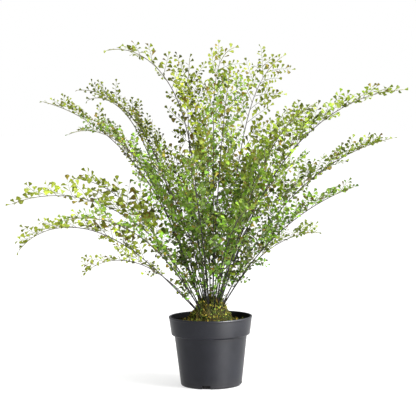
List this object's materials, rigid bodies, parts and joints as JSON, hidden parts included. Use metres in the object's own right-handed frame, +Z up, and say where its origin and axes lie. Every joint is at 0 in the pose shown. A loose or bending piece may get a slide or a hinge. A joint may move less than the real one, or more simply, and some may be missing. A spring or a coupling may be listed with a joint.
{
  "type": "potted maidenhair fern",
  "caption": "Maidenhair fern with arching wiry fronds of small fan-shaped leaflets, growing from a moss mound in a tapered round nursery pot.",
  "frame": {"origin": "centre of the pot's flat underside", "axes": "+Z up, -Y towards the front, +X to the right of someone facing the front"},
  "size_m": [0.6188, 0.5277, 0.5348],
  "materials": {
    "pot_plastic": "satin charcoal polypropylene, lightly scuffed",
    "potting_soil": "moist crumbly compost",
    "moss": "dry golden-green moss and plant fibre",
    "frond_lime": "thin yellow-green leaf, satin",
    "frond_green": "thin mid-green leaf, satin",
    "frond_olive": "thin olive-green leaf, satin"
  },
  "bodies": {
    "root": {"nursery_pot": "pot_plastic", "potting_soil": "potting_soil", "moss_mound": "moss", "frond_01": "frond_lime", "frond_02": "frond_olive", "frond_03": "frond_olive", "frond_04": "frond_green", "frond_05": "frond_olive", "frond_06": "frond_lime", "frond_07": "frond_lime", "frond_08": "frond_lime", "frond_09": "frond_lime", "frond_10": "frond_olive", "frond_11": "frond_green", "frond_12": "frond_olive", "frond_13": "frond_lime", "frond_14": "frond_lime", "frond_15": "frond_lime", "frond_16": "frond_lime", "frond_17": "frond_olive", "frond_18": "frond_green", "frond_19": "frond_green", "frond_20": "frond_green", "frond_21": "frond_green", "frond_22": "frond_green", "frond_23": "frond_green", "frond_24": "frond_olive", "frond_25": "frond_green", "frond_26": "frond_green", "frond_27": "frond_olive", "frond_28": "frond_green", "frond_29": "frond_green", "frond_30": "frond_green", "frond_31": "frond_green", "frond_32": "frond_green"}
  },
  "joints": []
}
